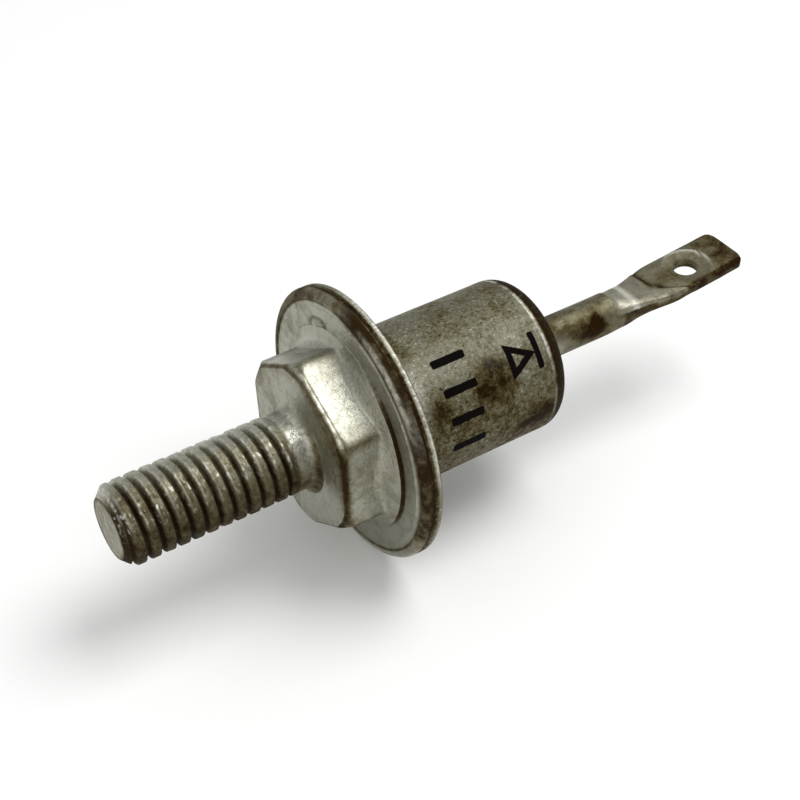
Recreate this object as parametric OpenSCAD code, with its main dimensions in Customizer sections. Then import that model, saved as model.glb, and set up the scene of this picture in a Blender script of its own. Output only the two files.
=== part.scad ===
// Small metal-can rectifier diode with a threaded mounting stud.
// The axis lies along X: the stud points to -X and the solder lug to +X.
// The origin is on the axis, in the hexagon's seating face.

/* [Stud] */
// Outside diameter of the M4 thread
stud_d = 3.9; // [3.8:0.05:4]
// Length of the stud from the seating face to its tip
stud_l = 9.5; // [8:0.05:12]
// Height of the chamfer at the stud's tip
tip_chamfer = 0.4; // [0.2:0.05:0.6]
// Radius of the fillet where the stud meets the seating face
root_fillet = 0.5; // [0.2:0.05:0.7]
// Pitch of the thread
thread_pitch = 0.7; // [0.6:0.05:0.8]
// Depth of the thread's grooves
thread_depth = 0.3; // [0.2:0.02:0.4]
// Width of each groove at the thread's outside
groove_w = 0.4; // [0.3:0.02:0.5]
// Length of plain neck between the seating face and the first groove
neck_l = 0.75; // [0.7:0.05:1.5]

/* [Hexagon] */
// Width across the hexagon's flats
hex_flats = 8; // [7:0.1:9]
// Distance from the seating face to the flange
hex_h = 2.5; // [2:0.1:3]
// Axial length of the ramp where the flats run out behind
ramp_h = 0.7; // [0.3:0.05:1]
// Diameter of the round collar that the ramp ends in
collar_d = 10; // [9.4:0.1:10]
// Height of the chamfer on the hexagon's front corners
corner_chamfer = 0.3; // [0.1:0.05:0.5]
// Angle of the hexagon about the axis
hex_turn = 56; // [0:1:60]

/* [Flange] */
// Diameter of the flange and of the can's rim
flange_d = 13.5; // [13:0.1:14]
// Thickness of the stud's flange
flange_t = 0.5; // [0.45:0.05:0.8]
// Thickness of the can's rim
rim_t = 0.45; // [0.35:0.05:0.7]
// Radius of the flange's front edge
front_r = 0.35; // [0.1:0.05:0.35]
// Radius of the rim's back edge
edge_r = 0.15; // [0.1:0.05:0.2]
// Size of each chamfer that forms the weld seam's groove
seam = 0.12; // [0.05:0.01:0.14]
// Width of the lip outside the ring that is pressed into the flange's front
lip_w = 0.4; // [0.4:0.05:0.6]
// Width of that ring
press_w = 0.4; // [0.3:0.05:0.8]
// Depth of that ring
press_depth = 0.08; // [0.05:0.01:0.15]

/* [Can] */
// Outside diameter of the can
can_d = 7.75; // [7:0.05:8.2]
// Distance from the flange's front to the can's top
can_h = 10.4; // [9:0.1:11]
// Thickness of the can's wall
can_wall = 0.35; // [0.25:0.05:0.5]
// Radius of the can's upper edge
shoulder_r = 1; // [0.4:0.05:1.1]
// Radius of the fillet at the can's foot
foot_r = 1.5; // [0.4:0.1:1.8]
// Diameter of the eye that holds the glass
eye_d = 4; // [3.6:0.1:4.6]
// Depth of the eye's collar and of the glass in it
eye_h = 1.2; // [0.8:0.1:1.6]
// Height of the glass where it creeps up the tube
glass_creep = 0.25; // [0.1:0.05:0.4]

/* [Terminal] */
// Outside diameter of the tube
tube_d = 2.1; // [1.8:0.05:2.4]
// Wall of the tube
tube_wall = 0.28; // [0.2:0.02:0.4]
// Length of round tube above the can
tube_l = 5.1; // [4.5:0.1:7]
// Length of tube inside the can, below the top
tube_in = 1.8; // [1.5:0.1:2.5]
// Length over which the tube is pressed flat
press_l = 2.3; // [1.2:0.1:2.6]
// Length of the flat lug
lug_l = 5.7; // [4:0.1:6]
// Width of the flat lug
lug_w = 2.85; // [2.4:0.05:3]
// Thickness of the flat lug
lug_t = 0.57; // [0.5:0.01:0.7]
// Radius of the lug's end corners
lug_corner = 0.35; // [0.1:0.05:0.6]
// Upward bend of the lug at the tube's end
lug_bend = 6; // [0:1:12]
// Diameter of the wire hole
hole_d = 1.3; // [1:0.05:1.5]
// Distance from the hole's centre to the lug's end
hole_edge = 2.7; // [1.5:0.05:2.8]

/* [Inside] */
// Diameter of the pedestal under the chip
pedestal_d = 5; // [4:0.1:6]
// Height of the pedestal above the flange
pedestal_h = 0.4; // [0.2:0.05:0.8]
// Thickness of each solder layer
solder_t = 0.1; // [0.06:0.02:0.2]
// Diameter of the disc that the chip is alloyed to
disc_d = 3.2; // [2.6:0.1:4]
// Thickness of that disc
disc_t = 0.35; // [0.2:0.05:0.5]
// Diameter of the silicon chip
chip_d = 2.6; // [2:0.1:3]
// Thickness of the chip
chip_t = 0.25; // [0.2:0.01:0.4]
// Diameter of the contact head on the inner lead
head_d = 1.5; // [1.2:0.1:1.8]
// Thickness of the contact head
head_t = 0.3; // [0.2:0.05:0.5]
// Diameter of the inner lead's wire
wire_d = 0.7; // [0.5:0.05:0.9]
// Sideways swing of the inner lead's relief wave
relief_rise = 0.7; // [0.3:0.1:1.2]

/* [Hidden] */
$fn = 96;
stud_r = stud_d / 2;
first_groove = -neck_l - groove_w / 2;
groove_n = floor((stud_l - tip_chamfer - neck_l - groove_w) / thread_pitch) + 1;
hex_r = hex_flats / 2 / cos(30);
flange_r = flange_d / 2;
press_out = flange_r - lip_w;
press_in = press_out - press_w;
rim_x = hex_h + flange_t;
can_r = can_d / 2;
can_top = hex_h + can_h;
eye_r = eye_d / 2;
tube_r = tube_d / 2;
tube_end = can_top + tube_l;
bore_end = tube_end - 0.3;
slice = 0.02;
press_step = 0.03;
pedestal_x = rim_x + pedestal_h;
disc_x = pedestal_x + solder_t;
chip_x = disc_x + disc_t;
solder_x = chip_x + chip_t;
head_x = solder_x + solder_t;
wire_x = head_x + head_t;
relief_end = can_top - tube_in - 0.6;
wire_rings = 14;
wire_sides = 12;

// Points of an arc about [cx, cy] from angle a0 to angle a1
function arc(cx, cy, r, a0, a1, n = 8) =
    [for (i = [0:n]) let (a = a0 + (a1 - a0) * i / n) [cx + r * cos(a), cy + r * sin(a)]];

// Outline of the thread's grooves from the tip to the neck, each a plain ring
function grooves() = [
    for (i = [groove_n - 1:-1:0])
        let (z = first_groove - i * thread_pitch, root_r = stud_r - thread_depth)
            each [
                [stud_r, z - groove_w / 2],
                [root_r, z - groove_w / 8],
                [root_r, z + groove_w / 8],
                [stud_r, z + groove_w / 2]
            ]
];

// Turns a shape built along Z so that it lies along X
module along_x() {
    rotate([0, 90, 0])
        children();
}

// Plain round layer of the stack inside the can
module layer(x, d, t) {
    translate([x, 0, 0])
        along_x()
            cylinder(d = d, h = t);
}

// Threaded shank with its chamfered tip and root fillet
module shank() {
    rotate_extrude()
        polygon(concat(
            [[0, -stud_l], [stud_r - tip_chamfer, -stud_l], [stud_r, tip_chamfer - stud_l]],
            grooves(),
            arc(stud_r + root_fillet, -root_fillet, root_fillet, 180, 90),
            [[stud_r + root_fillet, 0.1], [0, 0.1]]
        ));
}

// Hexagon with chamfered front corners and flats that run out in a ramp
module hexagon() {
    intersection() {
        rotate([0, 0, hex_turn])
            cylinder(r = hex_r, h = hex_h + 0.1, $fn = 6);
        rotate_extrude()
            polygon([
                [0, 0],
                [hex_r - 1.6 * corner_chamfer, 0],
                [hex_r - 0.1, corner_chamfer],
                [hex_r - 0.1, hex_h + 0.1],
                [0, hex_h + 0.1]
            ]);
    }
    translate([0, 0, hex_h - ramp_h])
        cylinder(r1 = hex_flats / 2, r2 = collar_d / 2, h = ramp_h);
}

// Flange with a pressed ring in front, and the pedestal for the chip behind
module flange() {
    rotate_extrude()
        polygon(concat(
            [
                [0, hex_h],
                [press_in, hex_h],
                [press_in + 0.1, hex_h + press_depth],
                [press_out - 0.1, hex_h + press_depth],
                [press_out, hex_h]
            ],
            arc(flange_r - front_r, hex_h + front_r, front_r, -90, 0),
            [
                [flange_r, rim_x - seam],
                [flange_r - seam, rim_x],
                [pedestal_d / 2, rim_x],
                [pedestal_d / 2, pedestal_x],
                [0, pedestal_x]
            ]
        ));
}

// Stud, hexagon and flange in one turned and pressed piece
module stud_base() {
    color("silver")
        along_x() {
            shank();
            hexagon();
            flange();
        }
}

// Drawn can with its welded rim and the eye for the glass
module cap() {
    color("darkgray")
        along_x()
            rotate_extrude()
                polygon(concat(
                    [
                        [can_r - can_wall, rim_x],
                        [flange_r - seam, rim_x],
                        [flange_r, rim_x + seam]
                    ],
                    arc(flange_r - edge_r, rim_x + rim_t - edge_r, edge_r, 0, 90),
                    arc(can_r + foot_r, rim_x + rim_t + foot_r, foot_r, 270, 180),
                    arc(can_r - shoulder_r, can_top - shoulder_r, shoulder_r, 0, 90),
                    [
                        [eye_r, can_top],
                        [eye_r, can_top - eye_h],
                        [eye_r + can_wall, can_top - eye_h],
                        [eye_r + can_wall, can_top - can_wall]
                    ],
                    arc(can_r - shoulder_r, can_top - shoulder_r, shoulder_r - can_wall, 90, 0)
                ));
}

// Glass bead that fills the eye around the tube
module glass_seal() {
    color("seagreen")
        along_x()
            rotate_extrude()
                polygon([
                    [tube_r, can_top - eye_h],
                    [eye_r, can_top - eye_h],
                    [eye_r, can_top - 0.1],
                    [tube_r + 0.5, can_top],
                    [tube_r, can_top + glass_creep]
                ]);
}

// Places its children on the bent lug, with X measured along its flat
module on_lug() {
    translate([tube_end, 0, 0])
        rotate([0, -lug_bend, 0])
            translate([press_l, 0, 0])
                children();
}

// Outline of the flat lug with rounded end corners
module lug_outline() {
    translate([0, -lug_w / 2])
        square([lug_l - lug_corner, lug_w]);
    translate([0, lug_corner - lug_w / 2])
        square([lug_l, lug_w - 2 * lug_corner]);
    for (side = [-1, 1])
        translate([lug_l - lug_corner, side * (lug_w / 2 - lug_corner)])
            circle(r = lug_corner);
}

// Tube through the glass, pressed flat at its outer end and holed for a wire
module terminal() {
    color("lightgray")
        difference() {
            union() {
                translate([can_top - tube_in, 0, 0])
                    along_x()
                        cylinder(d = tube_d, h = tube_l + tube_in);
                hull() {
                    translate([tube_end - slice, 0, 0])
                        along_x()
                            cylinder(r = tube_r - press_step, h = slice, $fn = 48);
                    on_lug()
                        translate([0, -lug_w / 2, -lug_t / 2])
                            cube([slice, lug_w, lug_t]);
                }
                on_lug()
                    translate([0, 0, -lug_t / 2])
                        linear_extrude(height = lug_t)
                            lug_outline();
            }
            translate([can_top - tube_in - 1, 0, 0])
                along_x()
                    cylinder(d = tube_d - 2 * tube_wall, h = bore_end - can_top + tube_in + 1);
            on_lug()
                translate([lug_l - hole_edge, 0, -lug_t])
                    cylinder(d = hole_d, h = 2 * lug_t);
        }
}

// Wire swept along X through rings of points, with one relief wave on its way
module relief_wire(x0, x1) {
    points = [
        for (i = [0:wire_rings], k = [0:wire_sides - 1])
            let (u = i / wire_rings, a = 360 * k / wire_sides)
                [
                    x0 + (x1 - x0) * u,
                    wire_d / 2 * cos(a),
                    relief_rise * (1 - cos(360 * u)) / 2 + wire_d / 2 * sin(a)
                ]
    ];
    walls = [
        for (i = [0:wire_rings - 1], k = [0:wire_sides - 1])
            let (j = i * wire_sides, n = (k + 1) % wire_sides)
                [j + k, j + wire_sides + k, j + wire_sides + n, j + n]
    ];
    first = [for (k = [0:wire_sides - 1]) k];
    last = [for (k = [wire_sides - 1:-1:0]) wire_rings * wire_sides + k];
    polyhedron(points, concat(walls, [first, last]));
}

// Contact head and wire, with a relief wave, up into the tube
module inner_lead() {
    color("chocolate") {
        layer(head_x, head_d, head_t);
        relief_wire(wire_x - slice, relief_end);
        layer(relief_end - slice, wire_d, bore_end - relief_end + slice);
    }
}

// Solder between the chip and the inner lead
module upper_solder() {
    color("lightsteelblue")
        layer(solder_x, head_d, solder_t);
}

// Silicon chip with the junction
module silicon_chip() {
    color("dimgray")
        layer(chip_x, chip_d, chip_t);
}

// Disc that takes up the strain between chip and stud
module support_disc() {
    color("slategray")
        layer(disc_x, disc_d, disc_t);
}

// Solder between the support disc and the pedestal
module lower_solder() {
    color("lightsteelblue")
        layer(pedestal_x, disc_d, solder_t);
}

stud_base();
cap();
glass_seal();
terminal();
inner_lead();
upper_solder();
silicon_chip();
support_disc();
lower_solder();
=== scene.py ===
# Small stud diode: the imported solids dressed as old, tarnished plated steel.
# Meshes are drawn in millimetres and scaled to metres when a piece is finished.
import math
import bmesh
import bpy
from mathutils import Matrix, Vector, noise


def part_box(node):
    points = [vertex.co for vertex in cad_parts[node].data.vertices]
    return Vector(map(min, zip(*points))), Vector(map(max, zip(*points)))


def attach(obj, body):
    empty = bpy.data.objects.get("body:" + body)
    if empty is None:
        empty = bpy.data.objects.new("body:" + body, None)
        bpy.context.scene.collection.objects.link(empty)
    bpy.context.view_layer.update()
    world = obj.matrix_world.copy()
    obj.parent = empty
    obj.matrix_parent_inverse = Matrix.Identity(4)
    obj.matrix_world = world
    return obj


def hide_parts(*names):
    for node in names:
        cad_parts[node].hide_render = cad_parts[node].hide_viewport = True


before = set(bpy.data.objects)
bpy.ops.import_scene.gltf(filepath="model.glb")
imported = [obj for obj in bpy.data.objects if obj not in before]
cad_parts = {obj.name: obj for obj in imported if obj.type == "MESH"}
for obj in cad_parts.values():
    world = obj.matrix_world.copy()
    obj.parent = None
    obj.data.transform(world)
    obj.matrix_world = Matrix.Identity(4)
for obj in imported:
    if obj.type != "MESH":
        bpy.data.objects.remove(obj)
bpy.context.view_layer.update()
mm = 0.001
weldMm = 0.0008            # points closer than this are merged
sharpDeg = 38              # edges that turn more than this stay crisp


def boxMm(node):
    low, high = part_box(node)
    return low / mm, high / mm


# places that every piece is set out from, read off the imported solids
studLow, studHigh = boxMm("stud_base")
capLow, capHigh = boxMm("cap")
lugLow, lugHigh = boxMm("terminal")
glassLow, glassHigh = boxMm("glass_seal")
tipX = studLow.x           # end of the stud
pedestalX = studHigh.x     # where the chip's stack starts
flangeR = min(studHigh.y, studHigh.z)
rimX = capLow.x            # the flange's back and the rim's front
canTop = capHigh.x
tubeInX = lugLow.x         # tube's lower end, inside the can
lugEndX = lugHigh.x
print("frame: stud tip %.2f, can top %.2f, lug end %.2f mm" % (tipX, canTop, lugEndX))


# small helpers

def smoothStep(low, high, value):
    t = min(max((value - low) / (high - low), 0.0), 1.0)
    return t * t * (3.0 - 2.0 * t)


def blendTo(a, b, t):
    return a + (b - a) * t


def bumpAt(value, centre, width):
    return math.exp(-((value - centre) / width) ** 2)


def patchAt(x, angle, spot):
    # soft round patch, from its place along the axis, its reach there, its angle and its spread
    placeX, reach, turn, spread = spot
    return bumpAt(x, placeX, reach) * bumpAt(angle, turn, spread)


def arcPoints(centreX, centreR, radius, startDeg, endDeg, count):
    angles = [math.radians(blendTo(startDeg, endDeg, i / count)) for i in range(count + 1)]
    return [(centreX + radius * math.cos(a), centreR + radius * math.sin(a)) for a in angles]


def softMax(a, b, soft):
    # the larger of two values, with a rounded change from one to the other
    return max(a, b) + soft * math.log(1.0 + math.exp(-abs(a - b) / soft))


def polar(co):
    # place along the axis, radius, and angle in degrees from +Z towards -Y
    return co.x, math.hypot(co.y, co.z), math.degrees(math.atan2(-co.y, co.z))


def setRadius(vert, radius):
    old = math.hypot(vert.co.y, vert.co.z)
    if old > 1e-6:
        vert.co.y *= radius / old
        vert.co.z *= radius / old


def cloudAt(co, sizeMm, seed=0.0):
    # soft noise from 0 to 1 with features of this size
    return 0.5 + 0.5 * noise.noise(co / sizeMm + Vector((seed, 2.3 * seed, 0)))


def profileLine(bm, points):
    verts = [bm.verts.new((x, 0, r)) for x, r in points]
    return verts + [bm.edges.new(pair) for pair in zip(verts, verts[1:])]


def copyOf(bm, geom):
    copied = bmesh.ops.duplicate(bm, geom=geom)["geom"]
    return [g for g in copied if isinstance(g, bmesh.types.BMVert)]


def lathe(points, steps):
    # turns a line of (x, radius) points about the X axis, a sixth at a time
    bm = bmesh.new()
    bmesh.ops.spin(bm, geom=profileLine(bm, points), cent=(0, 0, 0), axis=(1, 0, 0),
                   angle=math.pi / 3, steps=steps // 6)
    sixth = bm.verts[:] + bm.edges[:] + bm.faces[:]
    for turn in range(1, 6):
        bmesh.ops.rotate(bm, verts=copyOf(bm, sixth), cent=(0, 0, 0),
                         matrix=Matrix.Rotation(turn * math.pi / 3, 3, "X"))
    bmesh.ops.remove_doubles(bm, verts=bm.verts[:], dist=weldMm)
    return bm


def cutAway(bm, cutter):
    # the first shape less the second
    made = []
    for shape in (bm, cutter):
        bmesh.ops.recalc_face_normals(shape, faces=shape.faces[:])
        mesh = bpy.data.meshes.new("holder")
        shape.to_mesh(mesh)
        shape.free()
        made.append(bpy.data.objects.new("holder", mesh))
        bpy.context.scene.collection.objects.link(made[-1])
    cut = made[0].modifiers.new("cut", "BOOLEAN")
    cut.operation = "DIFFERENCE"
    cut.solver = "EXACT"
    cut.object = made[1]
    seen = made[0].evaluated_get(bpy.context.evaluated_depsgraph_get())
    result = bpy.data.meshes.new_from_object(seen)
    out = bmesh.new()
    out.from_mesh(result)
    for mesh in (result, made[0].data, made[1].data):
        bpy.data.meshes.remove(mesh)
    return out


def paint(bm, rule):
    # tarnished darkening with painted shade, and worn brightening with painted highlights, each 0 to 1, kept
    # on the mesh for the material
    tarnishAndShade = bm.verts.layers.float.new("tarnishAndShade")
    wearAndHighlight = bm.verts.layers.float.new("wearAndHighlight")
    for vert in bm.verts:
        dark, bright = rule(*polar(vert.co), vert.co)
        vert[tarnishAndShade] = min(max(dark, 0.0), 1.0)
        vert[wearAndHighlight] = min(max(bright, 0.0), 1.0)


def addPiece(bm, name, material, nodeNames=()):
    bmesh.ops.remove_doubles(bm, verts=bm.verts[:], dist=weldMm)
    bmesh.ops.recalc_face_normals(bm, faces=bm.faces[:])
    bmesh.ops.scale(bm, vec=(mm, mm, mm), verts=bm.verts[:])
    for face in bm.faces:
        face.smooth = True
    for edge in bm.edges:
        edge.smooth = edge.calc_face_angle(0.0) < math.radians(sharpDeg)
    mesh = bpy.data.meshes.new(name)
    bm.to_mesh(mesh)
    bm.free()
    mesh.materials.append(material)
    piece = bpy.data.objects.new(name, mesh)
    bpy.context.scene.collection.objects.link(piece)
    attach(piece, "root")
    if nodeNames:
        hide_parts(*nodeNames)
    print("piece %s: %d faces" % (name, len(mesh.polygons)))


# materials

def hexColour(code):
    channels = [int(code[i:i + 2], 16) / 255 for i in (1, 3, 5)]
    return tuple(c / 12.92 if c <= 0.04045 else ((c + 0.055) / 1.055) ** 2.4 for c in channels) + (1.0,)


def perMm(size):
    return 1.0 / (size * mm)    # texture scale for a feature of this size


def addNode(tree, kind, settings=None, inputs=None):
    node = tree.nodes.new(kind)
    for key, value in (settings or {}).items():
        setattr(node, key, value)
    for key, value in (inputs or {}).items():
        if isinstance(value, bpy.types.NodeSocket):
            tree.links.new(value, node.inputs[key])
        else:
            node.inputs[key].default_value = value
    return node


def newMaterial(name):
    material = bpy.data.materials.new(name)
    material.use_nodes = True
    return material, material.node_tree.nodes["Principled BSDF"]


# Tarnished nickel-tin plate on steel: a soft silvery metal with a fine pebbled grain, clouded olive and
# brown where air and old flux got at it, and worn bright along the edges.
# The mesh's painted darkening also brings painted shade into the olive and brown, and its brightening brings
# painted highlights.
def tarnishedPlate(name, look):
    material, shader = newMaterial(name)
    tree = material.node_tree
    place = addNode(tree, "ShaderNodeTexCoord").outputs["Object"]
    cloud = addNode(tree, "ShaderNodeTexNoise", inputs={
        "Vector": place, "Scale": perMm(look["cloudMm"]), "Detail": 5.0, "Roughness": 0.62}).outputs[0]
    mottle = addNode(tree, "ShaderNodeTexNoise", inputs={
        "Vector": place, "Scale": perMm(look["mottleMm"]), "Detail": 4.0, "Roughness": 0.6,
        "Distortion": 0.6}).outputs[0]
    grain = addNode(tree, "ShaderNodeTexNoise", inputs={
        "Vector": place, "Scale": perMm(look["grainMm"]), "Detail": 3.0, "Roughness": 0.65}).outputs[0]
    scuff = addNode(tree, "ShaderNodeTexNoise", inputs={
        "Vector": place, "Scale": perMm(look["scuffMm"]), "Detail": 3.0}).outputs[0]
    # the mesh's darkening carries painted shade as well as tarnished spots, and its brightening carries
    # painted highlights as well as worn edges
    dirtAndShade = addNode(tree, "ShaderNodeAttribute", {"attribute_name": "tarnishAndShade"}).outputs["Fac"]
    rubAndHighlight = addNode(tree, "ShaderNodeAttribute", {"attribute_name": "wearAndHighlight"}).outputs["Fac"]

    clouded = addNode(tree, "ShaderNodeMapRange", {"interpolation_type": "SMOOTHSTEP"}, {
        "Value": cloud, "From Min": look["cloudFrom"], "From Max": look["cloudTo"],
        "To Max": look["cloudDark"]}).outputs[0]
    mottled = addNode(tree, "ShaderNodeMapRange", inputs={
        "Value": mottle, "From Min": 0.35, "From Max": 0.7, "To Min": -0.6 * look["mottleDark"],
        "To Max": look["mottleDark"]}).outputs[0]
    ragged = addNode(tree, "ShaderNodeMath", {"operation": "ADD"}, {0: mottled, 1: dirtAndShade}).outputs[0]
    pitted = addNode(tree, "ShaderNodeMapRange", {"interpolation_type": "SMOOTHSTEP"}, {
        "Value": grain, "From Min": 0.46, "From Max": 0.32, "To Max": look["pits"]}).outputs[0]
    marked = addNode(tree, "ShaderNodeMath", {"operation": "ADD"}, {0: ragged, 1: pitted}).outputs[0]
    depth = addNode(tree, "ShaderNodeMath", {"operation": "ADD", "use_clamp": True}, {
        0: marked, 1: clouded}).outputs[0]

    olive = addNode(tree, "ShaderNodeMix", {"data_type": "RGBA"}, {
        0: addNode(tree, "ShaderNodeMapRange", inputs={
            "Value": depth, "From Min": 0.05, "From Max": 0.6}).outputs[0],
        6: hexColour(look["clean"]), 7: hexColour(look["olive"])}).outputs[2]
    brown = addNode(tree, "ShaderNodeMix", {"data_type": "RGBA"}, {
        0: addNode(tree, "ShaderNodeMapRange", inputs={
            "Value": depth, "From Min": 0.5, "From Max": 1.0}).outputs[0],
        6: olive, 7: hexColour(look["brown"])}).outputs[2]
    patchy = addNode(tree, "ShaderNodeMapRange", inputs={
        "Value": scuff, "From Min": 0.36, "From Max": 0.56, "To Min": look["scuffLeast"]}).outputs[0]
    flecked = addNode(tree, "ShaderNodeMapRange", {"interpolation_type": "SMOOTHSTEP"}, {
        "Value": grain, "From Min": 0.56, "From Max": 0.7, "To Max": look["flecks"]}).outputs[0]
    clearOf = addNode(tree, "ShaderNodeMath", {"operation": "SUBTRACT", "use_clamp": True}, {
        0: 0.7, 1: depth}).outputs[0]
    shown = addNode(tree, "ShaderNodeMath", {"operation": "MULTIPLY"}, {0: flecked, 1: clearOf}).outputs[0]
    bright = addNode(tree, "ShaderNodeMath", {"operation": "MULTIPLY_ADD", "use_clamp": True}, {
        0: rubAndHighlight, 1: patchy, 2: shown}).outputs[0]
    # the bright colour shows worn metal and painted highlights
    colour = addNode(tree, "ShaderNodeMix", {"data_type": "RGBA"}, {
        0: bright, 6: brown, 7: hexColour(look["rubbedAndHighlight"])}).outputs[2]
    grainy = addNode(tree, "ShaderNodeMapRange", inputs={
        "Value": grain, "From Min": 0.3, "From Max": 0.7, "To Min": look["roughLow"],
        "To Max": look["roughHigh"]}).outputs[0]
    dulled = addNode(tree, "ShaderNodeMath", {"operation": "MULTIPLY_ADD"}, {
        0: depth, 1: look["tarnishRough"], 2: grainy}).outputs[0]
    rough = addNode(tree, "ShaderNodeMath", {"operation": "MULTIPLY_ADD", "use_clamp": True}, {
        0: bright, 1: -0.12, 2: dulled}).outputs[0]
    metal = addNode(tree, "ShaderNodeMapRange", inputs={
        "Value": depth, "From Min": 0.35, "From Max": 1.0, "To Min": 1.0, "To Max": 0.45}).outputs[0]
    heights = addNode(tree, "ShaderNodeMath", {"operation": "MULTIPLY_ADD"}, {
        0: mottle, 1: look["mottleLift"], 2: grain}).outputs[0]
    bump = addNode(tree, "ShaderNodeBump", inputs={
        "Strength": 1.0, "Distance": look["grainDeepMm"] * mm, "Height": heights}).outputs[0]
    shader.inputs["Specular IOR Level"].default_value = look["filmGloss"]
    finish = {"Base Color": colour, "Roughness": rough, "Metallic": metal, "Normal": bump}
    for socket, value in finish.items():
        tree.links.new(value, shader.inputs[socket])
    return material


# A plain stuff whose colour and roughness drift a little over the surface: ink, glass and the inner pieces.
def driftingFinish(name, look):
    material, shader = newMaterial(name)
    tree = material.node_tree
    place = addNode(tree, "ShaderNodeTexCoord").outputs["Object"]
    drift = addNode(tree, "ShaderNodeTexNoise", inputs={
        "Vector": place, "Scale": perMm(look["driftMm"]), "Detail": 4.0}).outputs[0]
    colour = addNode(tree, "ShaderNodeMix", {"data_type": "RGBA"}, {
        0: drift, 6: hexColour(look["light"]), 7: hexColour(look["dark"])}).outputs[2]
    rough = addNode(tree, "ShaderNodeMapRange", inputs={
        "Value": drift, "To Min": look["roughLow"], "To Max": look["roughHigh"]}).outputs[0]
    bump = addNode(tree, "ShaderNodeBump", inputs={
        "Distance": look["deepMm"] * mm, "Height": drift}).outputs[0]
    for socket, value in (("Base Color", colour), ("Roughness", rough), ("Normal", bump)):
        tree.links.new(value, shader.inputs[socket])
    shader.inputs["Metallic"].default_value = look["metallic"]
    if "gloss" in look:
        shader.inputs["Specular IOR Level"].default_value = look["gloss"]
    if "coat" in look:
        shader.inputs["Coat Weight"].default_value = look["coat"]
    return material


# stud, hexagon and flange: one turned and pressed piece with a rolled M4 thread

studLook = {
    "clean": "#9B9A8C", "olive": "#69624A", "brown": "#2C200C", "rubbedAndHighlight": "#D3D2C6", "filmGloss": 0.08,
    "cloudMm": 3.2, "cloudFrom": 0.46, "cloudTo": 0.72, "cloudDark": 0.25,
    "mottleMm": 0.5, "mottleDark": 0.2, "mottleLift": 0.9, "pits": 0.2, "flecks": 0.25,
    "scuffMm": 0.2, "scuffLeast": 0.3, "grainMm": 0.15, "grainDeepMm": 0.026,
    "roughLow": 0.3, "roughHigh": 0.46, "tarnishRough": 0.4,
}
stud = {
    "major": 1.95, "pitch": 0.7, "depth": 0.3, "firstGroove": -0.95,      # thread
    "crestPart": 0.46, "ringsPerPitch": 24, "steps": 180,
    "neckR": 1.91, "neckX": -0.62, "runOut": 0.85,     # plain neck under the hexagon
    "fillet": 0.5, "tipChamfer": 0.5, "dents": 0.035,
}
hexagon = {
    "apothem": 4.0, "cornerR": 0.6, "edge": 0.26, "flatTurn": 26.0,
    "height": 2.5, "rampX": 1.72, "rampSoft": 0.09, "collarR": 4.98, "collarStep": 0.2,
    "collarGap": 0.09, "collarSoft": 0.07, "collarSunk": 0.85,
    "faceR": 4.04, "faceSlope": 1.0,                  # cone that takes the front corners off
}
flange = {
    "lipWide": 0.46, "lipDeep": 0.38, "seam": 0.12, "press": 0.36, "pressDeep": 0.05,
    "pedestalR": 2.5, "backR": 6.2, "wave": 0.02, "waveMm": 1.6,
    "burrR": 5.16, "burrTurn": -24.0, "burrUp": 0.2,  # small weld burr beside the hexagon
}
lipR = flangeR - flange["lipWide"]


def chamferReach(x):
    return max(stud["major"] - stud["tipChamfer"] + (x - tipX), 0.5)


def threadDepth(part):
    # 0 on a crest, 1 in a groove, along one pitch
    return smoothStep(stud["crestPart"], 0.97, abs(part - 0.5) * 2.0)


def threadPart(x, angle):
    # how far along one pitch of the right-handed thread, 0 and 1 in a groove
    return ((x - stud["firstGroove"]) / stud["pitch"] - angle / 360.0) % 1.0


def threadReach(x, angle, co):
    # rolled thread, faded into the neck and cut by the tip's chamfer
    part = threadPart(x, angle)
    dent = stud["dents"] * smoothStep(0.55, 0.8, cloudAt(co, 0.5))
    cut = stud["major"] - stud["depth"] * threadDepth(part) - dent
    neck = smoothStep(stud["neckX"] - stud["runOut"], stud["neckX"] - 0.38, x)
    return min(chamferReach(x), blendTo(cut, stud["neckR"], neck))


def studLine():
    # (x, radius) points from the tip's centre to the neck, before the thread is rolled in
    endR = stud["major"] - stud["tipChamfer"]
    rings = round((stud["neckX"] - tipX) / stud["pitch"] * stud["ringsPerPitch"])
    points = [(tipX, endR * i / 6) for i in range(7)]
    return points + [(blendTo(tipX, stud["neckX"], i / rings), stud["major"]) for i in range(1, rings + 1)]


def hexReach(angle, apothem):
    # radius of a hexagon with rounded corners at this angle
    offset = abs((angle - hexagon["flatTurn"] + 30.0) % 60.0 - 30.0)
    cornerR = hexagon["cornerR"]
    inner = apothem - cornerR
    if offset <= math.degrees(math.atan(inner * math.tan(math.radians(30)) / apothem)):
        return apothem / math.cos(math.radians(offset))
    swing = math.radians(30.0 - offset)
    centre = inner / math.cos(math.radians(30))
    return centre * math.cos(swing) + math.sqrt(max(cornerR ** 2 - (centre * math.sin(swing)) ** 2, 0.0))


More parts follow.
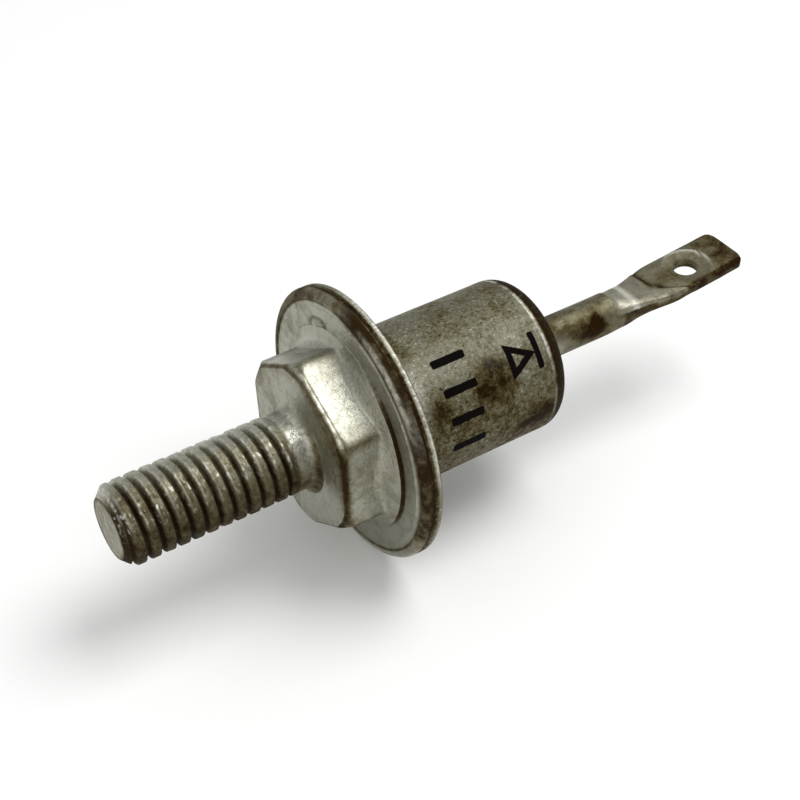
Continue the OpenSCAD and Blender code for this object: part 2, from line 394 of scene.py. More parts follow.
def turnedBase():
    apothem, edge, height = hexagon["apothem"], hexagon["edge"], hexagon["height"]
    fillet, neckR, rampX = stud["fillet"], stud["neckR"], hexagon["rampX"]
    collarR, collarX = hexagon["collarR"], height - hexagon["collarStep"]
    points = studLine() + arcPoints(-fillet, neckR + fillet, fillet, -90, 0, 10)
    points += [(0, blendTo(neckR + fillet, apothem - edge, i / 10)) for i in range(1, 10)]
    points += arcPoints(edge, apothem - edge, edge, 180, 90, 6)
    points += [(blendTo(edge, rampX, i / 16), apothem) for i in range(1, 16)]
    points += [(blendTo(rampX, collarX, i / 14), apothem) for i in range(15)]
    soft, faceIn, pressIn = hexagon["collarSoft"], collarR + hexagon["collarGap"], lipR - flange["press"]
    points += arcPoints(collarX + soft, collarR, soft, 150, 90, 3) + [(height, faceIn)]
    points += [(height, blendTo(faceIn, pressIn, i / 14)) for i in range(1, 15)]
    for part in range(1, 13):
        sunk = smoothStep(0.0, 0.4, part / 12) * smoothStep(1.0, 0.75, part / 12)
        points.append((height + flange["pressDeep"] * sunk, blendTo(pressIn, lipR, part / 12)))
    for step in range(1, 11):
        swing = math.radians(9 * step)
        points.append((height + flange["lipDeep"] * (1 - math.cos(swing)),
                       lipR + flange["lipWide"] * math.sin(swing)))
    points += [(rimX - flange["seam"], flangeR), (rimX, flangeR - flange["seam"]), (rimX, flange["backR"]),
               (rimX, flange["pedestalR"]), (pedestalX, flange["pedestalR"]), (pedestalX, 0)]
    bm = lathe(points, stud["steps"])
    for vert in bm.verts:
        x, radius, angle = polar(vert.co)
        if tipX + 0.001 < x < stud["neckX"] + 0.001:
            setRadius(vert, threadReach(x, angle, vert.co))
        elif -0.001 <= x <= collarX + 0.001 and apothem - edge - 0.001 <= radius <= apothem + 0.001:
            reach = min(hexReach(angle, radius), hexagon["faceR"] + hexagon["faceSlope"] * x)
            rise = (x - rampX) / (collarX - rampX)
            ramp = blendTo(apothem, collarR, rise ** 1.5 if rise > 0 else rise)
            setRadius(vert, min(softMax(reach, ramp, hexagon["rampSoft"]), collarR))
        elif abs(x - height) < 0.09 and radius > collarR + 0.05:
            away = (angle - flange["burrTurn"]) / 5.0
            vert.co.x -= flange["burrUp"] * bumpAt(radius, flange["burrR"], 0.15) * math.exp(-away * away)
            wave = flange["wave"] * cloudAt(vert.co, flange["waveMm"], 3.0)
            vert.co.x += wave * smoothStep(collarR, 5.3, radius)
        if rampX < x < height - 0.001 and radius < collarR + 0.1:
            # the collar stands out on one side only
            sunk = hexagon["collarSunk"] * (smoothStep(40, 5, angle) + smoothStep(118, 150, angle))
            vert.co.x += (height - x) * sunk * min((x - rampX) / (collarX - rampX), 1.0)
    return bm


# The paint rules give darkening, tarnished spots with painted shade, and brightening, worn edges with
# painted highlights, from 0 to 1 by place: lengths in mm, angles in degrees as in polar().

def studTarnishAndPaintedLight(x, radius, angle, co):
    patch = cloudAt(co, 1.4)
    fine = cloudAt(co, 0.32, 2.0)
    height, collarR = hexagon["height"], hexagon["collarR"]
    rightSide = smoothStep(-5, 35, angle) * smoothStep(140, 105, angle)
    lower = smoothStep(42, 92, abs(angle))
    if x < -0.02:    # thread and neck
        if x < tipX + 0.01:
            return 0.14 + 0.2 * patch + 0.4 * smoothStep(1.3, 1.42, radius), 0.0    # flat end
        streak = cloudAt(Vector((0.4 * x, co.y, co.z)), 0.3, 1.0)
        spark = cloudAt(Vector((1.6 * co.x, co.y, co.z)), 0.22, 2.0)
        neck = smoothStep(-1.1, -0.85, x)
        chamfer = smoothStep(tipX + 0.5, tipX + 0.3, x)
        groove = smoothStep(0.3, 0.95, (min(stud["major"], chamferReach(x)) - radius) / stud["depth"])
        # darker on the near side and the lower side and on the chamfer's near side: painted shade; the
        # grooves darker, patina, with more painted shade on those sides
        nearSide = smoothStep(-25, 40, angle)
        dark = 0.06 + 0.36 * nearSide + 0.32 * lower + 0.12 * patch + 0.4 * chamfer * nearSide
        dark = (dark + groove * (0.16 + 0.24 * nearSide + 0.3 * lower)) * (1.0 - neck)
        # the neck darker towards the bottom: painted shade
        dark += neck * (0.06 + 0.5 * smoothStep(45, 85, abs(angle)) * (0.4 + 0.8 * streak))
        # darker on the right of the seat fillet: painted shadow
        dark += 0.35 * rightSide * bumpAt(x, -0.1, 0.2)
        # bright marks and crest edges only on the upper lit side, a bright line along the top of the tip's
        # chamfer, the upper crests lighter and the neck's top bright with streaks: painted highlights
        nickAndGlint = smoothStep(0.64, 0.76, spark) * bumpAt(angle, 36.0, 26.0)
        crestEdgeHighlight = bumpAt(threadPart(x, angle), 0.3, 0.07)
        crestEdgeHighlight *= smoothStep(-70, -20, angle) * smoothStep(75, 45, angle)
        bright = (1.0 - neck) * (1.0 - groove) * (0.7 * nickAndGlint + 0.42 * crestEdgeHighlight * (0.2 + spark))
        bright += 0.6 * bumpAt(x, tipX + 0.22, 0.05) * bumpAt(angle, 5.0, 40.0)
        bright += 0.34 * (1.0 - neck) * (1.0 - groove) * smoothStep(20, -20, angle)
        bright += neck * bumpAt(angle, 16.0, 42.0) * (0.6 + 0.7 * streak)
        return dark, bright * smoothStep(-0.1, -0.35, x)
    if x < height - 0.005 and radius < collarR + 0.05:    # hexagon
        corner = 30.0 - abs((angle - hexagon["flatTurn"] + 30.0) % 60.0 - 30.0)
        if x < 0.01:
            # the seat face darker on its right-hand side: painted shade; darker towards its rim; lighter on
            # its lower near side: painted light
            dark = 0.42 * rightSide * smoothStep(2.3, 2.7, radius) * (0.6 + 0.5 * patch)
            dark *= smoothStep(110, 80, angle)
            dark = dark + 0.08 * patch + 0.2 * smoothStep(3.55, 3.75, radius)
            return dark, 0.3 * smoothStep(95, 120, angle)
        upperFlat = smoothStep(-8, 2, angle) * smoothStep(60, 50, angle)
        # darker along the hexagon's front edge, at the back on the right and on the lower side: painted
        # shade; also a thin dark line on the upper flat, darker fronts on the lower flats and darker corners
        dark = 0.75 * bumpAt(x, 0.08, 0.12) + 0.4 * upperFlat * bumpAt(x, 0.35, 0.05)
        dark += 0.55 * bumpAt(x, 0.22, 0.16) * smoothStep(52, 62, angle) * smoothStep(140, 120, angle)
        dark += 0.5 * bumpAt(corner, 0.0, 2.6) * smoothStep(2.2, 1.6, x) * smoothStep(0.1, 0.5, x)
        dark += 0.5 * smoothStep(height - 0.14, height - 0.04, x) * rightSide + 0.14 * lower
        # the lit upper flat, a thin line near its front edge and the collar's edge on the upper side made
        # brighter: painted highlights
        flatTop = bumpAt(angle, hexagon["flatTurn"], 22.0) * smoothStep(0.34, 0.44, x)
        flatTop *= smoothStep(1.95, 1.75, x)
        bright = 0.35 * flatTop + 1.1 * bumpAt(x, 0.24, 0.05) * upperFlat * smoothStep(0.2, 0.55, fine)
        bright += 0.3 * bumpAt(x, height - hexagon["collarStep"], 0.06) * smoothStep(100, 40, abs(angle))
        return dark * (0.65 + 0.5 * patch), bright
    # flange, from its face outwards
    # a dark ring in the corner round the collar, strongest on the right, the right side darker and a dark
    # ring round the burr: painted shade
    creviceShade = 0.12 + smoothStep(30, 60, angle) * smoothStep(128, 108, angle)
    dark = creviceShade * bumpAt(radius, collarR + hexagon["collarGap"], 0.07) + 0.25 * rightSide * patch
    away = math.hypot((radius - flange["burrR"]) / 0.3, (angle - flange["burrTurn"]) / 7.5)
    dark += 0.5 * bumpAt(away, 1.0, 0.3)
    onLip = smoothStep(lipR, lipR + 0.12, radius)
    upLeft = smoothStep(15, -20, angle) * smoothStep(-175, -130, angle)
    rightBand = onLip * smoothStep(42, 68, angle) * smoothStep(128, 96, angle)
    # the lip darker at the upper left: painted shade; a dark band on its right-hand side
    dark += onLip * (0.65 * upLeft + 0.12 * patch) + (0.45 + 0.75 * fine) * rightBand
    dark += smoothStep(rimX - 0.2, rimX - 0.1, x)
    topRight = smoothStep(-8, 8, angle) * smoothStep(70, 40, angle)
    topPatch = bumpAt(angle, 8.0, 11.0)
    dark += (0.75 + 0.55 * topRight) * bumpAt(radius, lipR - 0.03, 0.08 + 0.03 * topRight + 0.1 * topPatch)
    outerBand = topRight * smoothStep(height + 0.06, height + 0.18, x)    # brown next to the weld
    dark += onLip * (0.6 * topPatch + 0.5 * topRight * smoothStep(0.46, 0.6, fine))
    dark += (0.45 + 0.8 * fine) * outerBand
    # the lip lighter at the top right: painted highlight; lighter along the bottom
    bright = 0.5 * onLip * topRight * (1.0 - outerBand) * (1.0 - topPatch)
    bright += 0.35 * onLip * smoothStep(125, 160, abs(angle))
    return dark * (0.6 + 0.6 * patch), bright


studMetal = tarnishedPlate("tarnishedPlateStud", studLook)
baseMesh = turnedBase()
paint(baseMesh, studTarnishAndPaintedLight)
addPiece(baseMesh, "studBase", studMetal, ["stud_base"])


# crust of the ring weld, in the groove between flange and rim

# Burnt weld crust: brown-black scale with a few dull metal grains showing through.
crustLook = {
    "clean": "#7A705C", "olive": "#4C3C24", "brown": "#281A0A", "rubbedAndHighlight": "#A39A86", "filmGloss": 0.08,
    "cloudMm": 1.1, "cloudFrom": 0.38, "cloudTo": 0.6, "cloudDark": 0.75,
    "mottleMm": 0.3, "mottleDark": 0.35, "mottleLift": 1.6, "pits": 0.3, "flecks": 0.25,
    "scuffMm": 0.15, "scuffLeast": 0.3, "grainMm": 0.09, "grainDeepMm": 0.04,
    "roughLow": 0.4, "roughHigh": 0.7, "tarnishRough": 0.2,
}
seam = {"halfWide": 0.17, "low": 0.3, "bulge": 0.03, "rough": 0.09, "steps": 360}


def weldRing():
    across = seam["halfWide"]
    ringR = flangeR - 0.09
    points = [(rimX - across, ringR)] + [
        (rimX + across * math.sin(math.radians(a)), ringR + seam["bulge"] * math.cos(math.radians(a)))
        for a in range(-75, 90, 15)]
    points += [(rimX + across, ringR - 0.02), (rimX, flangeR - seam["low"]), points[0]]
    bm = lathe(points, seam["steps"])
    for vert in bm.verts:
        x, radius, angle = polar(vert.co)
        if radius > ringR - 0.01:
            lump = cloudAt(vert.co, 0.35, 5.0) * 0.6 + cloudAt(vert.co, 0.15, 9.0) * 0.4
            setRadius(vert, min(radius + seam["rough"] * (lump - 0.55), flangeR - 0.005))
            vert.co.x += 0.05 * (cloudAt(vert.co, 0.5, 7.0) - 0.5)
    return bm


def seamTarnishAndPaintedLight(x, radius, angle, co):
    # the crust darker on its lower near side: painted shade; its front lighter at the top: painted highlight
    shadedSide = smoothStep(30, 60, angle) * smoothStep(150, 115, angle)
    frontTop = smoothStep(rimX, rimX - 0.1, x) * smoothStep(40, 15, abs(angle - 5))
    dark = 0.3 + 0.45 * smoothStep(rimX - 0.06, rimX + 0.04, x) + 0.3 * shadedSide
    return dark, 0.25 * frontTop * cloudAt(co, 0.4)


crustMetal = tarnishedPlate("burntWeldCrust", crustLook)
seamMesh = weldRing()
paint(seamMesh, seamTarnishAndPaintedLight)
addPiece(seamMesh, "weldSeam", crustMetal)


# drawn can with its welded rim

canLook = {
    "clean": "#777564", "olive": "#554C2E", "brown": "#211603", "rubbedAndHighlight": "#C8C7BA", "filmGloss": 0.03,
    "cloudMm": 2.4, "cloudFrom": 0.44, "cloudTo": 0.68, "cloudDark": 0.3,
    "mottleMm": 0.28, "mottleDark": 0.34, "mottleLift": 1.9, "pits": 0.5, "flecks": 0.85,
    "scuffMm": 0.2, "scuffLeast": 0.4, "grainMm": 0.13, "grainDeepMm": 0.045,
    "roughLow": 0.48, "roughHigh": 0.66, "tarnishRough": 0.1,
}
can = {
    "outerR": 3.875, "wall": 0.35, "rim": 0.45, "edge": 0.15, "foot": 1.5, "shoulder": 1.0,
    "eyeR": 2.0, "eyeDeep": 1.2, "steps": 240, "wave": 0.014,
    "patches": ((8.55, 1.0, 53.0, 19.0), (5.7, 0.6, 58.0, 13.0), (11.0, 1.0, 98.0, 8.0)),    # brown stains
}
rimBack = rimX + can["rim"]
shoulderX = canTop - can["shoulder"]


def canWave(x, angle):
    # slow dents in the drawn wall, never outwards
    turn = math.radians(angle)
    co = Vector((x * 0.45, 1.7 * math.sin(turn), 1.7 * math.cos(turn)))
    wallX = rimBack + can["foot"]
    inside = smoothStep(wallX, wallX + 0.8, x) * smoothStep(shoulderX, shoulderX - 0.8, x)
    return -can["wave"] * inside * (0.5 + 0.5 * noise.noise(co))


def drawnCan():
    outerR, wall, edge, shoulder = can["outerR"], can["wall"], can["edge"], can["shoulder"]
    points = [(rimX, outerR - wall), (rimX, flange["backR"])]
    points += [(rimX, flangeR - flange["seam"]), (rimX + flange["seam"], flangeR)]
    points += arcPoints(rimBack - edge, flangeR - edge, edge, 90, 0, 6)
    points += arcPoints(rimBack + can["foot"], outerR + can["foot"], can["foot"], 180, 270, 14)
    points += [(blendTo(rimBack + can["foot"], shoulderX - 0.12, i / 26), outerR) for i in range(1, 27)]
    points += [(shoulderX - 0.03, outerR)]
    points += arcPoints(shoulderX, outerR - shoulder, shoulder, 83, 0, 12)    # crisp start
    points += [(canTop, 2.6), (canTop, can["eyeR"] + 0.05), (canTop - 0.05, can["eyeR"])]
    eyeEnd = canTop - can["eyeDeep"]
    points += [(eyeEnd, can["eyeR"]), (eyeEnd, can["eyeR"] + wall), (canTop - wall, can["eyeR"] + wall)]
    points += arcPoints(shoulderX, outerR - shoulder, shoulder - wall, 0, 90, 6)
    points += [(rimX, outerR - wall)]
    bm = lathe(points, can["steps"])
    for vert in bm.verts:
        x, radius, angle = polar(vert.co)
        if radius > outerR - 0.01 and rimBack + can["foot"] < x < shoulderX:
            setRadius(vert, radius + canWave(x, angle))
    return bm


def canTarnishAndPaintedLight(x, radius, angle, co):
    patch = cloudAt(co, 1.7, 4.0)
    fine = cloudAt(co, 0.7, 8.0)
    rimTop = smoothStep(-20, 5, angle) * smoothStep(88, 60, angle)
    onRim = smoothStep(flangeR - 0.22, flangeR - 0.12, radius)
    dark = (0.48 + 0.25 * rimTop) * smoothStep(rimBack - 0.14, rimBack - 0.3, x)
    # the rim's back edge and back face darker: painted shadow
    dark += 0.8 * onRim * smoothStep(rimBack - 0.1, rimBack - 0.05, x)
    dark += 0.6 * bumpAt(x, rimBack + 0.02, 0.1) * smoothStep(6.55, 6.35, radius)
    dark += smoothStep(shoulderX + 0.04, shoulderX + 0.16, x) * (0.45 + 0.85 * smoothStep(2.7, 3.0, radius))
    bright = 0.0
    if rimBack + 0.5 < x < shoulderX and radius > 3.0:
        dark += 0.1 * smoothStep(28, 8, angle) * smoothStep(-60, -20, angle)
        brownPatch = sum(patchAt(x, angle, spot) for spot in can["patches"])
        dark += brownPatch * (0.75 + 0.5 * smoothStep(0.35, 0.65, 0.3 * patch + 0.7 * fine))
        # darker on the lower side: painted shade
        dark += 0.4 * smoothStep(50, 90, abs(angle))
        dark += 0.4 * smoothStep(5.5, 5.2, x) * smoothStep(34, 4, angle)    # shaded by the flange
        # a bright streak up the foot and a few glints on the lit upper side: painted highlights
        foot = smoothStep(rimBack + 2.2, rimBack + 1.0, x)
        bright = 0.5 * foot * bumpAt(angle, 42.0, 14.0) + 0.3 * bumpAt(angle, 34.0, 9.0) * fine
    # a bright line along the shoulder, fading lower down, and darker below it on the lower side: painted
    # highlight and painted shade
    lowShoulder = smoothStep(40, 70, abs(angle))
    bright += (1.2 - 0.9 * lowShoulder) * bumpAt(x, shoulderX - 0.03, 0.05) * smoothStep(0.2, 0.5, fine)
    dark += 0.3 * lowShoulder * bumpAt(x, shoulderX - 0.05, 0.25) * patch
    # a bright line along the rim's back edge, strongest on top: painted highlight
    bright += (0.18 + 1.4 * rimTop) * onRim * bumpAt(x, rimBack - 0.14, 0.06)
    return dark * (0.7 + 0.4 * fine), bright


canMetal = tarnishedPlate("tarnishedPlateCan", canLook)
canMesh = drawnCan()
paint(canMesh, canTarnishAndPaintedLight)
addPiece(canMesh, "drawnCan", canMetal, ["cap"])


# ink on the can: the polarity sign and four plain dashes

# Stamping ink: flat brown-black, a little broken where the pebbled metal shows through.
inkLook = {"light": "#0C0605", "dark": "#030101", "driftMm": 0.35, "roughLow": 0.6, "roughHigh": 0.85,
           "deepMm": 0.01, "metallic": 0.0, "gloss": 0.04}
ink = {
    "stroke": 0.3, "lift": 0.012, "sunk": 0.02, "corner": 0.09, "ragged": 0.025, "raggedMm": 0.25,
    "baseX": 9.68, "apexX": 11.2, "fromTurn": 35.2, "toTurn": 61.4,      # arrow
    "barX": 11.3, "barFrom": 34.0, "barTo": 61.0,
    "dashX": 6.9, "dashLong": 1.8, "dashWide": 0.4, "dashTurns": (29.5, 51.0, 71.5, 93.0),
}


def arcLength(turn):
    return math.radians(turn) * can["outerR"]


def inkDash(bm, x, turn, size, segments):
    made = bmesh.ops.create_grid(bm, x_segments=segments[0], y_segments=segments[1], size=0.5)["verts"]
    bmesh.ops.scale(bm, vec=(size[0], size[1], 1), verts=made)
    bmesh.ops.translate(bm, verts=made, vec=(x, arcLength(turn), 0))
    corners = [v for v in made if len(v.link_edges) == 2]
    bmesh.ops.bevel(bm, geom=corners, offset=ink["corner"], affect="VERTICES", segments=3,
                    profile=0.5, material=-1)


def inkMarks():
    bm = bmesh.new()
    middle = 0.5 * (ink["fromTurn"] + ink["toTurn"])
    corners = [bm.verts.new((x, arcLength(turn), 0)) for x, turn in (
        (ink["baseX"], ink["fromTurn"]), (ink["apexX"], middle), (ink["baseX"], ink["toTurn"]))]
    arrow = bm.faces.new(corners)
    arrow.normal_update()
    if arrow.normal.z < 0:
        arrow.normal_flip()
    bmesh.ops.inset_region(bm, faces=[arrow], thickness=ink["stroke"], use_boundary=True,
                           use_even_offset=True)
    bmesh.ops.delete(bm, geom=[arrow], context="FACES")
    bmesh.ops.subdivide_edges(bm, edges=bm.edges[:], cuts=7, use_grid_fill=True)
    barTurn = 0.5 * (ink["barFrom"] + ink["barTo"])
    inkDash(bm, ink["barX"], barTurn, (ink["stroke"], arcLength(ink["barTo"] - ink["barFrom"])), (4, 16))
    for turn in ink["dashTurns"]:
        inkDash(bm, ink["dashX"], turn, (ink["dashLong"], ink["dashWide"]), (16, 5))
    for vert in bm.verts:
        if vert.is_boundary:
            spot = vert.co / ink["raggedMm"]
            vert.co += ink["ragged"] * Vector((noise.noise(spot), noise.noise(spot + Vector((7, 3, 1))), 0))
    bmesh.ops.solidify(bm, geom=bm.faces[:], thickness=ink["lift"] + ink["sunk"])
    lowest = min(v.co.z for v in bm.verts)
    for vert in bm.verts:
        turn = vert.co.y / can["outerR"]
        radius = can["outerR"] + canWave(vert.co.x, math.degrees(turn)) + vert.co.z - lowest - ink["sunk"]
        vert.co = Vector((vert.co.x, -radius * math.sin(turn), radius * math.cos(turn)))
    return bm


addPiece(inkMarks(), "inkMarks", driftingFinish("stampingInk", inkLook))


# glass bead round the lead

# Fused seal glass: dark grey-green, glossy, with a drawn-up rim against the tube.
glassLook = {"light": "#4A564B", "dark": "#1F2722", "driftMm": 0.9, "roughLow": 0.08, "roughHigh": 0.22,
             "deepMm": 0.01, "metallic": 0.0, "coat": 0.5}
bead = {"outerR": 2.0, "sink": 0.1, "rim": 0.02, "edge": 0.01, "steps": 120}
tubeR = 1.05


def glassBead():
    creep = glassHigh.x - canTop
    points = [(glassLow.x, tubeR), (glassLow.x, bead["outerR"])]
    points += [(canTop - bead["sink"] - bead["rim"], bead["outerR"])]
    for part in range(13):
        t = part / 12
        up = creep * t ** 4 + bead["sink"] * (1.0 - t) * (1.2 * smoothStep(0.0, 0.25, t) - 1.0)
        points.append((canTop + up, blendTo(bead["outerR"] - bead["rim"], tubeR + bead["edge"], t)))
    points += [(glassHigh.x - bead["edge"], tubeR), (glassLow.x, tubeR)]
    return lathe(points, bead["steps"])


addPiece(glassBead(), "glassBead", driftingFinish("fusedSealGlass", glassLook), ["glass_seal"])


# tube lead, pressed flat and bent up at its end

lugLook = {
    "clean": "#75715F", "olive": "#574F34", "brown": "#241503", "rubbedAndHighlight": "#CBC9BC", "filmGloss": 0.04,
    "cloudMm": 1.7, "cloudFrom": 0.4, "cloudTo": 0.66, "cloudDark": 0.35,
    "mottleMm": 0.42, "mottleDark": 0.26, "mottleLift": 1.0, "pits": 0.25, "flecks": 0.2,
    "scuffMm": 0.6, "scuffLeast": 0.75, "grainMm": 0.12, "grainDeepMm": 0.024,
    "roughLow": 0.4, "roughHigh": 0.58, "tarnishRough": 0.15,
}
lead = {
    "wall": 0.28, "tubeL": 5.1, "boreStop": 0.3, "bendDeg": 6.0, "bendSoft": 0.9,
    "halfT": 0.285, "cornerR": 0.35,
    "pressX": 18.1, "creaseX": 19.3, "creaseUp": 0.64, "creaseHalf": 1.03,     # first press mark
    "stampX": 20.55, "stampUp": 0.42, "stampSweep": 1.5,                       # edge of the stamped flat
    "holeR": 0.65, "holeEdge": 2.715, "dishR": 1.28, "dishDeep": 0.06, "dishLip": 0.028,
    "blotch": (16.35, 0.95, 74.0, 40.0), "endFrom": 23.6, "endTo": 25.0,       # brown on tube and end
    "segments": 112, "rings": 190,
}
halfW = lugHigh.y
bendX = canTop + lead["tubeL"]
flatX = lead["stampX"] + 0.6
slope = math.tan(math.radians(lead["bendDeg"]))
holeX = lugEndX - lead["holeEdge"]


def leadRise(x):
    # height of the middle line: level in the tube, then up along the lug
    soft = lead["bendSoft"]
    away = x - bendX
    return slope * (away if away > soft else max(away + soft, 0.0) ** 2 / (4 * soft))


def stampEdge(y):
    # where the stamped flat starts: early at the far edge, late along the near one
    near = min(max((halfW - y) / (2 * halfW), 0.0), 1.0)
    return lead["stampX"] + 0.3 * near + lead["stampSweep"] * max(near - 0.58, 0.0) ** 1.4 / 0.42 ** 1.4


def leadTop(x, y):
    pressX, creaseX, stampX = lead["pressX"], lead["creaseX"], lead["stampX"]
    if x < creaseX:
        part = min(max((x - pressX) / (creaseX - pressX), 0.0), 1.0)
        return blendTo(tubeR, lead["creaseUp"], part ** 0.62)
    high = blendTo(lead["creaseUp"] - 0.03, lead["stampUp"], min((x - creaseX) / (stampX - creaseX), 1.0))
    edge = stampEdge(y)
    return blendTo(high, lead["halfT"], smoothStep(edge, edge + 0.2, x))


def leadUnder(x):
    return blendTo(tubeR, lead["halfT"], smoothStep(bendX - 0.3, flatX, x))


def pressedLead():
    bm = bmesh.new()
    length = lugEndX - tubeInX
    made = bmesh.ops.create_cone(bm, cap_ends=True, segments=lead["segments"], radius1=tubeR,
                                 radius2=tubeR, depth=length)["verts"]
    bmesh.ops.rotate(bm, verts=made, matrix=Matrix.Rotation(math.pi / 2, 3, "Y"))
    bmesh.ops.translate(bm, verts=made, vec=(tubeInX + length / 2, 0, 0))
    longEdges = [e for e in bm.edges if abs(e.verts[0].co.x - e.verts[1].co.x) > 1.0]
    bmesh.ops.subdivide_edges(bm, edges=longEdges, cuts=lead["rings"], use_grid_fill=True)
    for vert in bm.verts:
        x, radius, angle = polar(vert.co)
        turn = math.radians(angle)
        across, up = -math.sin(turn), math.cos(turn)
        late = max(x - (lugEndX - lead["cornerR"]), 0.0)
        narrow = lead["cornerR"] - math.sqrt(max(lead["cornerR"] ** 2 - late ** 2, 0.0))
        halfY = blendTo(tubeR, lead["creaseHalf"], smoothStep(lead["pressX"], lead["creaseX"], x))
        halfY = blendTo(halfY, halfW, smoothStep(lead["creaseX"], flatX + 0.6, x)) - narrow
        squareTop = smoothStep(lead["pressX"] - 0.05, lead["pressX"] + 0.9, x)
        squareUnder = smoothStep(bendX, flatX, x)
        corner = 0.42 if across < 0 else 0.8    # the far edge stays round up to the flat
        square = blendTo(1.0, blendTo(corner, 0.26, squareUnder), squareTop if up > 0 else squareUnder)
        squareSide = blendTo(1.0, 0.3, 0.5 * (squareTop + squareUnder) if across < 0 else squareUnder)
        vert.co.y = halfY * math.copysign(abs(across) ** squareSide, across)
        if x > flatX:
            wobble = noise.noise(Vector((x * 0.9, vert.co.y * 0.3, 2.0)))
            vert.co.y -= 0.05 * max(wobble, 0.0) * across * smoothStep(flatX, flatX + 0.6, x)
        halfZ = leadTop(x, vert.co.y) if up > 0 else leadUnder(x)
        vert.co.z = halfZ * math.copysign(abs(up) ** square, up)
        if up > 0 and x > flatX:
            reach = math.hypot(x - holeX, vert.co.y)
            dish = smoothStep(lead["dishR"], lead["holeR"], reach)
            vert.co.z += lead["dishLip"] * bumpAt(reach, lead["dishR"], 0.1) - lead["dishDeep"] * dish
        vert.co.z += leadRise(x)
    return bm


def drillTool(radius, low, high, sides):
    bm = bmesh.new()
    made = bmesh.ops.create_cone(bm, cap_ends=True, segments=sides, radius1=radius, radius2=radius,
                                 depth=(high - low).length)["verts"]
    turn = (high - low).to_track_quat("Z", "X").to_matrix()
    bmesh.ops.rotate(bm, verts=made, matrix=turn)
    bmesh.ops.translate(bm, verts=made, vec=(low + high) / 2)
    return bm


def leadTarnishAndPaintedLight(x, radius, angle, co):
    patch = cloudAt(co, 0.9, 6.0)
    fine = cloudAt(co, 0.4, 3.0)
    middle = leadRise(x)
    topSide = co.z > middle + 0.45 * leadTop(x, co.y)
    blotch = patchAt(x, angle, lead["blotch"])
    dark = 0.12 + 1.4 * blotch * (0.25 + 0.5 * patch + 0.6 * fine) + 0.2 * smoothStep(0.55, 0.8, patch)
    # the underside of the flat darker: painted shade
    dark += 0.5 * smoothStep(lead["pressX"] + 0.2, lead["pressX"] + 0.6, x) * (not topSide)
    # a highlight on the near facet and a light patch on the tube near the can: painted highlights
    nearFacet = smoothStep(18.25, 18.4, x) * smoothStep(19.4, 19.2, x) * smoothStep(66, 48, angle)
    bright = 0.22 * nearFacet * smoothStep(-30, 10, angle)
    bright += 0.4 * smoothStep(15.2, 14.2, x) * bumpAt(angle, 84.0, 26.0)
    if topSide and lead["pressX"] < x < flatX + 1.6:
        edge = stampEdge(co.y)
        before = smoothStep(edge + 0.02, edge - 0.12, x)
        # a dark band along the stamped edge: painted shadow; the stretch before it lighter: painted light;
        # the crease's bright line: painted highlight
        dark += 0.85 * bumpAt(x, edge + 0.1, 0.17) - 0.2 * before + 0.5 * before * smoothStep(0.5, 0.7, fine)
        bright += 1.25 * bumpAt(x, lead["creaseX"] - 0.08, 0.17) + 0.4 * before * fine
    reach = math.hypot(x - holeX, co.y)
    if topSide and x > flatX:
        # the dish's far rim bright: painted highlight; the dish darker inside: painted shade
        farSide = smoothStep(0.1, 0.8, ((x - holeX) * 0.75 + co.y * 0.65) / max(reach, 0.1))
        bright += 1.2 * bumpAt(reach, lead["dishR"], 0.05) * farSide
        dark += 0.15 * smoothStep(lead["dishR"], lead["holeR"], reach)
        dark += 0.48 * smoothStep(lead["endFrom"], lead["endTo"], x) - 0.12
        # the near edge darker: painted shade
        dark += 0.6 * smoothStep(-1.05, -1.3, co.y)
    return dark, bright


lugMetal = tarnishedPlate("tarnishedPlateLug", lugLook)
pressMesh = pressedLead()
holeAxis = Vector((-math.sin(math.radians(lead["bendDeg"])), 0, math.cos(math.radians(lead["bendDeg"]))))
holeCentre = Vector((holeX, 0, leadRise(holeX)))
pressMesh = cutAway(pressMesh, drillTool(lead["holeR"], holeCentre - holeAxis, holeCentre + holeAxis, 64))
pressMesh = cutAway(pressMesh, drillTool(tubeR - lead["wall"], Vector((tubeInX - 0.5, 0, 0)),
                                         Vector((bendX - lead["boreStop"], 0, 0)), 48))
paint(pressMesh, leadTarnishAndPaintedLight)
addPiece(pressMesh, "pressedLead", lugMetal, ["terminal"])


# chip, solder and inner lead keep their solids

innerLooks = {
    "softCopper": {                                   # bare drawn wire
        "nodes": ("inner_lead",), "light": "#C98E68", "dark": "#8A4F33", "driftMm": 1.0,
        "roughLow": 0.25, "roughHigh": 0.5, "deepMm": 0.01, "metallic": 1.0},
    "tinLeadSolder": {                                # smooth, wetted
        "nodes": ("upper_solder", "lower_solder"), "light": "#B4B5B3", "dark": "#7E8080", "driftMm": 0.5,
        "roughLow": 0.25, "roughHigh": 0.45, "deepMm": 0.02, "metallic": 1.0},
    "lappedSilicon": {                                # grey, lapped flat
        "nodes": ("silicon_chip",), "light": "#5A5E66", "dark": "#33373E", "driftMm": 0.3,
        "roughLow": 0.2, "roughHigh": 0.4, "deepMm": 0.004, "metallic": 0.6},
    "rolledMolybdenum": {                             # rolled sheet
        "nodes": ("support_disc",), "light": "#98999C", "dark": "#707277", "driftMm": 0.4,
        "roughLow": 0.3, "roughHigh": 0.5, "deepMm": 0.006, "metallic": 1.0},
}
for finishName, look in innerLooks.items():
    finish = driftingFinish(finishName, look)
    for nodeName in look["nodes"]:
        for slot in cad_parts[nodeName].material_slots:
            slot.material = finish
print("inner pieces: %d finishes" % len(innerLooks))


# camera at the photograph's angle, pale floor and soft light

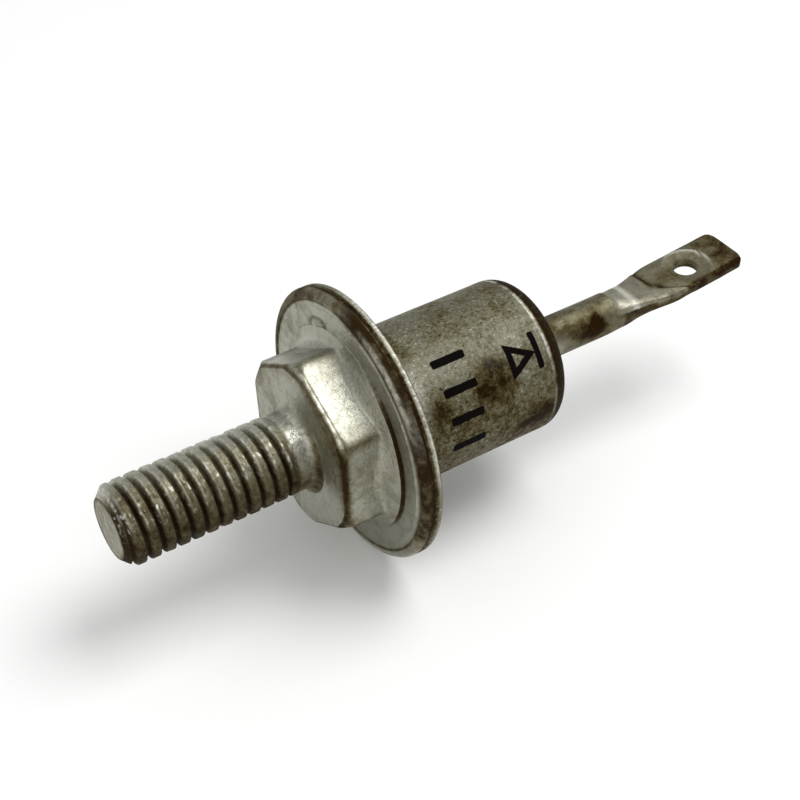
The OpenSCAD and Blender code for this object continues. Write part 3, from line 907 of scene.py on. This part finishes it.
view = {"place": (-24.23, -45.253, 47.72), "azimuth": -33.375, "elevation": 41.275, "lens": 68.715,
        "sensor": 36.0, "nearest": 0.001}
ground = {"colour": "#F3F3F2", "rough": 0.9, "half": 0.6}
sky = {"colour": "#F3F4F4", "strength": 0.7}
azimuth, elevation = math.radians(view["azimuth"]), math.radians(view["elevation"])
backwards = Vector((math.sin(azimuth) * math.cos(elevation), -math.cos(azimuth) * math.cos(elevation),
                    math.sin(elevation)))
cameraData = bpy.data.cameras.new("camera")
cameraData.lens = view["lens"]
cameraData.sensor_width = view["sensor"]
cameraData.clip_start = view["nearest"]
camera = bpy.data.objects.new("camera", cameraData)
camera.location = Vector(view["place"]) * mm
camera.rotation_euler = (-backwards).to_track_quat("-Z", "Y").to_euler()
bpy.context.scene.collection.objects.link(camera)
bpy.context.scene.camera = camera

floorMaterial, floorShader = newMaterial("paleFloor")
floorShader.inputs["Base Color"].default_value = hexColour(ground["colour"])
floorShader.inputs["Roughness"].default_value = ground["rough"]
floorMesh = bmesh.new()
bmesh.ops.create_grid(floorMesh, x_segments=2, y_segments=2, size=ground["half"])
bmesh.ops.translate(floorMesh, verts=floorMesh.verts[:], vec=(0, 0, -flangeR * mm))
floorData = bpy.data.meshes.new("floor")
floorMesh.to_mesh(floorData)
floorMesh.free()
floorData.materials.append(floorMaterial)
floor = bpy.data.objects.new("floor", floorData)
bpy.context.scene.collection.objects.link(floor)

lights = [
    {"name": "overhead", "towards": (0.41, -0.13, 0.90), "away": 0.22, "size": 0.13, "power": 0.30},
    {"name": "leftFill", "towards": (-0.85, -0.35, 0.40), "away": 0.3, "size": 0.22, "power": 0.2},
]
for light in lights:
    data = bpy.data.lights.new(light["name"], "AREA")
    data.size = light["size"]
    data.energy = light["power"]
    lamp = bpy.data.objects.new(light["name"], data)
    towards = Vector(light["towards"]).normalized()
    lamp.location = towards * light["away"]
    lamp.rotation_euler = towards.to_track_quat("Z", "Y").to_euler()
    bpy.context.scene.collection.objects.link(lamp)

world = bpy.data.worlds.new("studio")
world.use_nodes = True
background = world.node_tree.nodes["Background"]
background.inputs["Color"].default_value = hexColour(sky["colour"])
background.inputs["Strength"].default_value = sky["strength"]
bpy.context.scene.world = world
bpy.context.scene.view_settings.view_transform = "Standard"
print("stage: camera, floor and %d lights" % len(lights))
